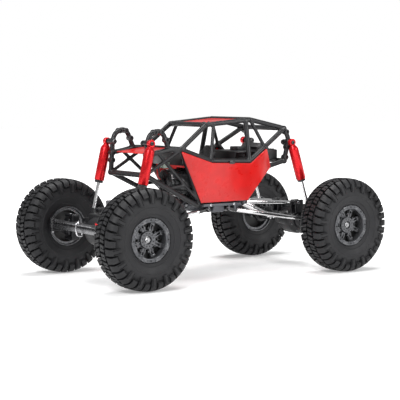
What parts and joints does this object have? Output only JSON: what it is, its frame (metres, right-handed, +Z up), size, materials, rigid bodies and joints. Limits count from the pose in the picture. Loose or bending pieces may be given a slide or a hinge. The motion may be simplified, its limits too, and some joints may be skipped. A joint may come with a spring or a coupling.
{
  "type": "remote control car",
  "caption": "Radio-controlled rock crawler buggy: black tube cage with red panels, link suspension with red shocks, shaft-driven axles and knobby bead-lock wheels.",
  "frame": {"origin": "on the ground, midway between the four wheels", "axes": "+X forward along the car, +Y to the driver's left, +Z up"},
  "size_m": [0.438, 0.251, 0.2059],
  "materials": {
    "black_nylon": "satin",
    "red_panel": "gloss",
    "red_anodised": "satin",
    "bright_steel": "polished",
    "tyre_rubber": "matte",
    "rim_grey": "satin",
    "skid_grey": "satin",
    "dark_case": "satin",
    "motor_black": "satin",
    "gear_steel": "satin",
    "battery_wrap": "satin",
    "servo_grey": "satin"
  },
  "bodies": {
    "chassis": {"cage_side_left": "black_nylon", "cage_side_right": "black_nylon", "crossbar_front": "black_nylon", "crossbar_roof_front": "black_nylon", "crossbar_roof_rear": "black_nylon", "crossbar_rear_top": "black_nylon", "crossbar_rear_low": "black_nylon", "door_left": "red_panel", "door_right": "red_panel", "roof_panel": "red_panel", "hood_panel": "red_panel", "skid_plate": "skid_grey", "interior_tray": "black_nylon", "driver_seat": "black_nylon", "battery_cover": "black_nylon", "battery_pack": "battery_wrap", "speed_controller": "dark_case", "receiver_box": "dark_case", "gearbox_case": "dark_case", "motor": "motor_black"},
    "front_lower_links": {"front_lower_link_left": "bright_steel", "front_lower_link_right": "bright_steel"},
    "front_upper_links": {"front_upper_link_left": "bright_steel", "front_upper_link_right": "bright_steel"},
    "front_driveshaft": {"front_driveshaft": "bright_steel"},
    "front_shock_bodies": {"front_shock_body_left": "red_anodised", "front_shock_body_right": "red_anodised"},
    "front_shock_shafts": {"front_shock_shaft_left": "bright_steel", "front_shock_shaft_right": "bright_steel"},
    "front_axle": {"front_axle_housing": "black_nylon", "steering_servo": "rim_grey"},
    "rear_lower_links": {"rear_lower_link_left": "bright_steel", "rear_lower_link_right": "bright_steel"},
    "rear_upper_links": {"rear_upper_link_left": "bright_steel", "rear_upper_link_right": "bright_steel"},
    "rear_driveshaft": {"rear_driveshaft": "bright_steel"},
    "rear_shock_bodies": {"rear_shock_body_left": "red_anodised", "rear_shock_body_right": "red_anodised"},
    "rear_shock_shafts": {"rear_shock_shaft_left": "bright_steel", "rear_shock_shaft_right": "bright_steel"},
    "rear_axle": {"rear_axle_housing": "black_nylon"},
    "knuckle_left": {"knuckle_left": "black_nylon"},
    "knuckle_right": {"knuckle_right": "black_nylon"},
    "tie_rod": {"tie_rod": "bright_steel"},
    "servo_horn": {"servo_horn": "red_anodised"},
    "drag_link": {"drag_link": "bright_steel"},
    "spur_gear": {"spur_gear": "gear_steel"},
    "pinion": {"pinion_gear": "gear_steel"},
    "front_left_wheel": {"front_left_tyre": "tyre_rubber", "front_left_rim": "rim_grey", "front_left_beadlock_ring": "rim_grey"},
    "front_right_wheel": {"front_right_tyre": "tyre_rubber", "front_right_rim": "rim_grey", "front_right_beadlock_ring": "rim_grey"},
    "rear_left_wheel": {"rear_left_tyre": "tyre_rubber", "rear_left_rim": "rim_grey", "rear_left_beadlock_ring": "rim_grey"},
    "rear_right_wheel": {"rear_right_tyre": "tyre_rubber", "rear_right_rim": "rim_grey", "rear_right_beadlock_ring": "rim_grey"}
  },
  "joints": [
    {"name": "front_suspension", "type": "hinge", "parent": "chassis", "child": "front_lower_links", "pos_m": [0.016, 0, 0.086], "axis": [0, -1, 0], "range_deg": [-8, 8], "stiffness_Nm_per_rad": 4, "springref_deg": -9.05},
    {"name": "front_axle_pitch", "type": "hinge", "parent": "front_lower_links", "child": "front_axle", "pos_m": [0.143, 0, 0.0655], "axis": [0, -1, 0], "range_deg": [-3.5, 3.5]},
    {"name": "front_upper_link_swing", "type": "hinge", "parent": "chassis", "child": "front_upper_links", "pos_m": [0.046, 0, 0.093], "axis": [0, -1, 0], "range_deg": [-10.8, 10.8]},
    {"name": "front_driveshaft_swing", "type": "hinge", "parent": "chassis", "child": "front_driveshaft", "pos_m": [0.038, 0, 0.101], "axis": [0, -1, 0], "range_deg": [-10.6, 10.6]},
    {"name": "front_shock_swing", "type": "hinge", "parent": "chassis", "child": "front_shock_bodies", "pos_m": [0.1154, 0, 0.1748], "axis": [0, -1, 0], "range_deg": [-3.6, 3.6]},
    {"name": "front_shock_stroke", "type": "slide", "parent": "front_shock_bodies", "child": "front_shock_shafts", "axis": [-0.2349, 0, 0.972], "range_m": [-0.0168, 0.0168]},
    {"name": "rear_suspension", "type": "hinge", "parent": "chassis", "child": "rear_lower_links", "pos_m": [-0.016, 0, 0.086], "axis": [0, 1, 0], "range_deg": [-8, 8], "stiffness_Nm_per_rad": 4, "springref_deg": -7.22},
    {"name": "rear_axle_pitch", "type": "hinge", "parent": "rear_lower_links", "child": "rear_axle", "pos_m": [-0.143, 0, 0.0655], "axis": [0, 1, 0], "range_deg": [-3.5, 3.5]},
    {"name": "rear_upper_link_swing", "type": "hinge", "parent": "chassis", "child": "rear_upper_links", "pos_m": [-0.046, 0, 0.093], "axis": [0, 1, 0], "range_deg": [-10.8, 10.8]},
    {"name": "rear_driveshaft_swing", "type": "hinge", "parent": "chassis", "child": "rear_driveshaft", "pos_m": [-0.038, 0, 0.101], "axis": [0, 1, 0], "range_deg": [-10.6, 10.6]},
    {"name": "rear_shock_swing", "type": "hinge", "parent": "chassis", "child": "rear_shock_bodies", "pos_m": [-0.1075, 0, 0.1716], "axis": [0, 1, 0], "range_deg": [-4.4, 4.4]},
    {"name": "rear_shock_stroke", "type": "slide", "parent": "rear_shock_bodies", "child": "rear_shock_shafts", "axis": [0.313, 0, 0.9497], "range_m": [-0.0168, 0.0168]},
    {"name": "steering", "type": "hinge", "parent": "front_axle", "child": "knuckle_left", "pos_m": [0.1565, 0.08, 0.0625], "axis": [0, 0, 1], "range_deg": [-30, 30]},
    {"name": "steering_right", "type": "hinge", "parent": "front_axle", "child": "knuckle_right", "pos_m": [0.1565, -0.08, 0.0625], "axis": [0, 0, 1], "range_deg": [-30.5, 30.5]},
    {"name": "tie_rod_swing", "type": "hinge", "parent": "knuckle_left", "child": "tie_rod", "pos_m": [0.1825, 0.08, 0.0655], "axis": [0, 0, 1], "range_deg": [-30.5, 30.5]},
    {"name": "servo_turn", "type": "hinge", "parent": "front_axle", "child": "servo_horn", "pos_m": [0.1565, 0.0372, 0.0753], "axis": [0, 0, 1], "range_deg": [-30.5, 30.5]},
    {"name": "drag_link_swing", "type": "hinge", "parent": "servo_horn", "child": "drag_link", "pos_m": [0.1825, 0.0372, 0.0719], "axis": [0, 0, 1], "range_deg": [-30.5, 30.5]},
    {"name": "rear_left_wheel_spin", "type": "hinge", "parent": "rear_axle", "child": "rear_left_wheel", "pos_m": [-0.1565, 0.103, 0.0625], "axis": [0, 1, 0], "continuous": true},
    {"name": "rear_right_wheel_spin", "type": "hinge", "parent": "rear_axle", "child": "rear_right_wheel", "pos_m": [-0.1565, -0.103, 0.0625], "axis": [0, 1, 0], "continuous": true},
    {"name": "front_left_wheel_spin", "type": "hinge", "parent": "knuckle_left", "child": "front_left_wheel", "pos_m": [0.1565, 0.103, 0.0625], "axis": [0, 1, 0], "continuous": true},
    {"name": "front_right_wheel_spin", "type": "hinge", "parent": "knuckle_right", "child": "front_right_wheel", "pos_m": [0.1565, -0.103, 0.0625], "axis": [0, 1, 0], "continuous": true},
    {"name": "spur_gear_spin", "type": "hinge", "parent": "chassis", "child": "spur_gear", "pos_m": [0.0216, -0.0021, 0.112], "axis": [1, 0, 0], "continuous": true},
    {"name": "pinion_spin", "type": "hinge", "parent": "chassis", "child": "pinion", "pos_m": [0.0216, 0.016, 0.1225], "axis": [1, 0, 0], "continuous": true}
  ],
  "couplings": [
    {"joint": "front_axle_pitch", "follows": "front_suspension", "ratio": -0.4161},
    {"joint": "front_upper_link_swing", "follows": "front_suspension", "ratio": 1.3246},
    {"joint": "front_driveshaft_swing", "follows": "front_suspension", "ratio": 1.299},
    {"joint": "front_shock_swing", "follows": "front_suspension", "ratio": 0.4305},
    {"joint": "front_shock_stroke", "follows": "front_suspension", "m_per_rad": 0.118},
    {"joint": "rear_axle_pitch", "follows": "rear_suspension", "ratio": -0.4161},
    {"joint": "rear_upper_link_swing", "follows": "rear_suspension", "ratio": 1.3246},
    {"joint": "rear_driveshaft_swing", "follows": "rear_suspension", "ratio": 1.299},
    {"joint": "rear_shock_swing", "follows": "rear_suspension", "ratio": 0.5251},
    {"joint": "rear_shock_stroke", "follows": "rear_suspension", "m_per_rad": 0.1139},
    {"joint": "steering_right", "follows": "steering", "ratio": 1},
    {"joint": "tie_rod_swing", "follows": "steering", "ratio": -1},
    {"joint": "servo_turn", "follows": "steering", "ratio": 1},
    {"joint": "drag_link_swing", "follows": "steering", "ratio": -1},
    {"joint": "rear_right_wheel_spin", "follows": "rear_left_wheel_spin", "ratio": 1},
    {"joint": "front_left_wheel_spin", "follows": "rear_left_wheel_spin", "ratio": 1},
    {"joint": "front_right_wheel_spin", "follows": "rear_left_wheel_spin", "ratio": 1},
    {"joint": "spur_gear_spin", "follows": "rear_left_wheel_spin", "ratio": 8},
    {"joint": "pinion_spin", "follows": "rear_left_wheel_spin", "ratio": -26.667}
  ]
}
